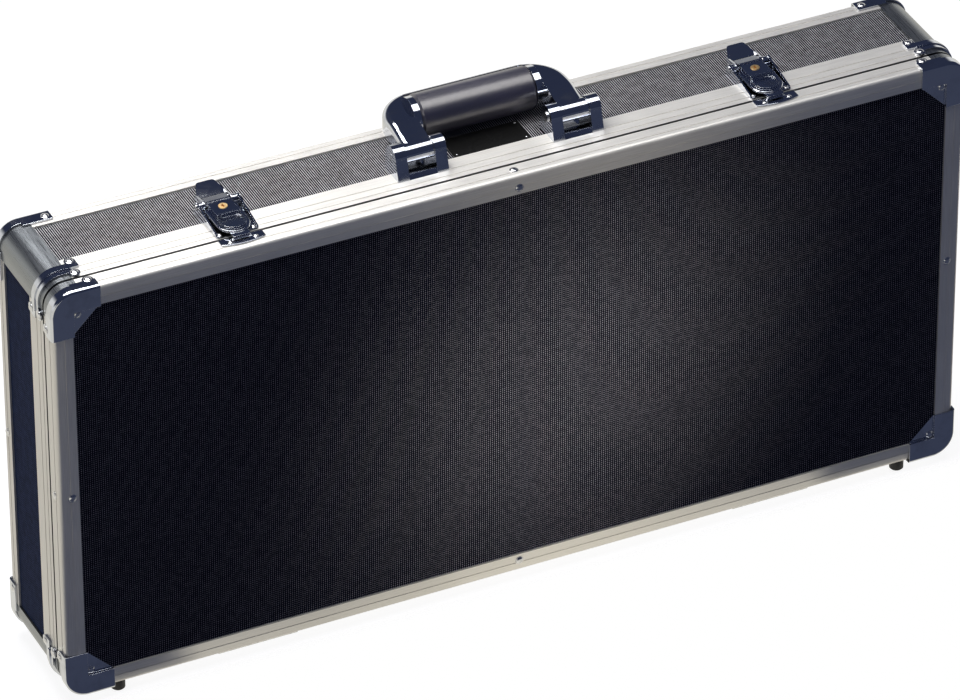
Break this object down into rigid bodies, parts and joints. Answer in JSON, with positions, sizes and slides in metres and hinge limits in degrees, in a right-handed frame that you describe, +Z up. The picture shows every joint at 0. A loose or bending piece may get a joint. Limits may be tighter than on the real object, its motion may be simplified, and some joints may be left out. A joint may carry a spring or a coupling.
{
  "type": "guitar pedal case",
  "caption": "Flat rectangular pedal case: hinged shallow lid, deep tray with foam linings, draw latches with key locks, folding bow handle, capped corners.",
  "frame": {"origin": "centre of the bounding box at its bottom, on the surface that the feet stand on", "axes": "+X along the case, to the right as seen from the lid side; +Y from the lid to the back; +Z up, towards the handle"},
  "size_m": [0.6954, 0.1064, 0.3727],
  "materials": {
    "profile_aluminium": "satin anodised, fine drawn lines",
    "post_aluminium": "brushed",
    "side_laminate": "black laminate with fine pressed ribs",
    "face_laminate": "black laminate with a fine weave",
    "lining_foam": "soft dark foam",
    "plate_metal": "plain satin plate",
    "foot_rubber": "matte",
    "lock_brass": "polished",
    "grip_plastic": "dark satin",
    "pin_steel": "bright",
    "hardware_chrome": "polished"
  },
  "bodies": {
    "case_body": {"body_rim_top": "profile_aluminium", "body_rim_bottom": "profile_aluminium", "body_rim_left": "profile_aluminium", "body_rim_right": "profile_aluminium", "body_edge_top": "profile_aluminium", "body_edge_bottom": "profile_aluminium", "body_edge_left": "profile_aluminium", "body_edge_right": "profile_aluminium", "body_wall_top": "side_laminate", "body_wall_bottom": "side_laminate", "body_wall_left": "side_laminate", "body_wall_right": "side_laminate", "body_corner_posts": "post_aluminium", "back_panel": "face_laminate", "tray_foam": "lining_foam", "name_plate": "plate_metal", "body_rivets": "pin_steel", "body_feet": "foot_rubber", "hinge_body_leaves": "pin_steel", "hinge_pins": "pin_steel", "back_cap_top_left": "hardware_chrome", "back_cap_top_right": "hardware_chrome", "back_cap_bottom_left": "hardware_chrome", "back_cap_bottom_right": "hardware_chrome", "corner_bracket_top_left": "hardware_chrome", "corner_bracket_top_right": "hardware_chrome", "corner_bracket_bottom_left": "hardware_chrome", "corner_bracket_bottom_right": "hardware_chrome", "handle_bracket_left": "hardware_chrome", "handle_bracket_right": "hardware_chrome", "handle_pivot_pins": "pin_steel", "latch_base_left": "hardware_chrome", "latch_base_right": "hardware_chrome", "latch_lever_stubs": "pin_steel"},
    "lid": {"lid_frame_top": "profile_aluminium", "lid_frame_bottom": "profile_aluminium", "lid_frame_left": "profile_aluminium", "lid_frame_right": "profile_aluminium", "lid_corner_pieces": "post_aluminium", "lid_panel": "face_laminate", "lid_foam": "lining_foam", "lid_cap_top_left": "hardware_chrome", "lid_cap_top_right": "hardware_chrome", "lid_cap_bottom_left": "hardware_chrome", "lid_cap_bottom_right": "hardware_chrome", "lid_rivets": "pin_steel", "lid_feet": "foot_rubber", "hinge_lid_leaves": "pin_steel", "latch_catch_left": "hardware_chrome", "latch_catch_right": "hardware_chrome"},
    "handle": {"handle_bow": "hardware_chrome", "handle_grip": "grip_plastic"},
    "lever_left": {"latch_lever_left": "hardware_chrome", "latch_link_pin_left": "pin_steel"},
    "hasp_left": {"latch_hasp_left": "hardware_chrome"},
    "lock_left": {"latch_lock_left": "lock_brass"},
    "lever_right": {"latch_lever_right": "hardware_chrome", "latch_link_pin_right": "pin_steel"},
    "hasp_right": {"latch_hasp_right": "hardware_chrome"},
    "lock_right": {"latch_lock_right": "lock_brass"}
  },
  "joints": [
    {"name": "lid_hinge", "type": "hinge", "parent": "case_body", "child": "lid", "pos_m": [0, -0.0359, 0.00535], "axis": [1, 0, 0], "range_deg": [0, 100]},
    {"name": "handle_hinge", "type": "hinge", "parent": "case_body", "child": "handle", "pos_m": [0, -0.012, 0.3547], "axis": [1, 0, 0], "range_deg": [0, 100]},
    {"name": "lever_left_hinge", "type": "hinge", "parent": "case_body", "child": "lever_left", "pos_m": [-0.2015, 0.0003, 0.346], "axis": [1, 0, 0], "range_deg": [0, 70]},
    {"name": "hasp_left_hinge", "type": "hinge", "parent": "lever_left", "child": "hasp_left", "pos_m": [-0.2015, 0.0058, 0.345], "axis": [1, 0, 0], "range_deg": [-87.5, 0]},
    {"name": "lock_left_turn", "type": "hinge", "parent": "hasp_left", "child": "lock_left", "pos_m": [-0.2015, -0.0094, 0.3455], "axis": [0, 0, 1], "range_deg": [0, 90]},
    {"name": "lever_right_hinge", "type": "hinge", "parent": "case_body", "child": "lever_right", "pos_m": [0.2015, 0.0003, 0.346], "axis": [1, 0, 0], "range_deg": [0, 70]},
    {"name": "hasp_right_hinge", "type": "hinge", "parent": "lever_right", "child": "hasp_right", "pos_m": [0.2015, 0.0058, 0.345], "axis": [1, 0, 0], "range_deg": [-87.5, 0]},
    {"name": "lock_right_turn", "type": "hinge", "parent": "hasp_right", "child": "lock_right", "pos_m": [0.2015, -0.0094, 0.3455], "axis": [0, 0, 1], "range_deg": [0, 90]}
  ],
  "couplings": [
    {"joint": "hasp_left_hinge", "follows": "lever_left_hinge", "ratio": -1.25},
    {"joint": "hasp_right_hinge", "follows": "lever_right_hinge", "ratio": -1.25}
  ]
}
